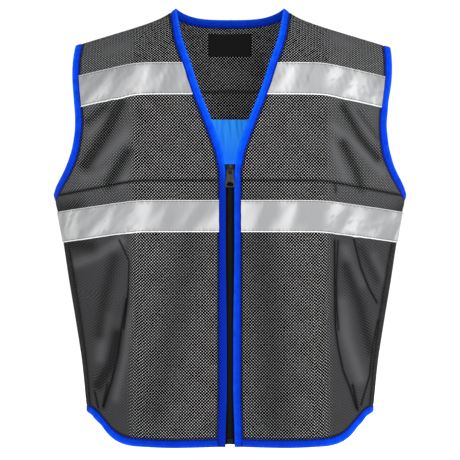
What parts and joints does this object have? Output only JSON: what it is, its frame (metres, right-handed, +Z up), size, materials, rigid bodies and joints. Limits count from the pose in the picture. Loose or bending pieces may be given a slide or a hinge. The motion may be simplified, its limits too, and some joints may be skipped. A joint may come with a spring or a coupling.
{
  "type": "zip-front mesh work vest",
  "caption": "Sleeveless V-neck mesh vest with bound edges, reflective tapes at chest and waist, an inner back lining and a front zip with a swinging puller.",
  "frame": {"origin": "midway between the two neck points, at their height, where the wearer's shoulders carry the vest", "axes": "+Z up, -Y to the front of the wearer, +X to the wearer's left"},
  "size_m": [0.563, 0.2164, 0.6978],
  "materials": {
    "air_mesh": "black knitted spacer mesh with round holes",
    "reflective_tape": "silver glass-bead tape on cloth",
    "binding": "royal-blue folded woven edging",
    "lining": "smooth azure taffeta",
    "zip_tape": "black twill",
    "zip_teeth": "moulded black acetal",
    "zip_metal": "dark grey coated die-cast zinc",
    "label": "plain black woven label"
  },
  "bodies": {
    "vest": {"front_upper_left": "air_mesh", "front_lower_left": "air_mesh", "front_upper_right": "air_mesh", "front_lower_right": "air_mesh", "back_yoke": "air_mesh", "back_body": "air_mesh", "chest_tape_left": "reflective_tape", "waist_tape_left": "reflective_tape", "chest_tape_right": "reflective_tape", "waist_tape_right": "reflective_tape", "chest_tape_back": "reflective_tape", "waist_tape_back": "reflective_tape", "back_lining": "lining", "neck_label": "label", "neck_binding": "binding", "armhole_binding_left": "binding", "armhole_binding_right": "binding", "hem_binding": "binding", "zip_tape_left": "zip_tape", "zip_teeth_left": "zip_teeth", "zip_tape_right": "zip_tape", "zip_teeth_right": "zip_teeth", "zip_slider": "zip_metal", "zip_box": "zip_teeth"},
    "puller": {"zip_puller": "zip_metal"}
  },
  "joints": [
    {"name": "puller_swing", "type": "hinge", "parent": "vest", "child": "puller", "pos_m": [0, -0.11151, -0.261], "axis": [-1, 0, 0], "range_deg": [0, 160]}
  ]
}
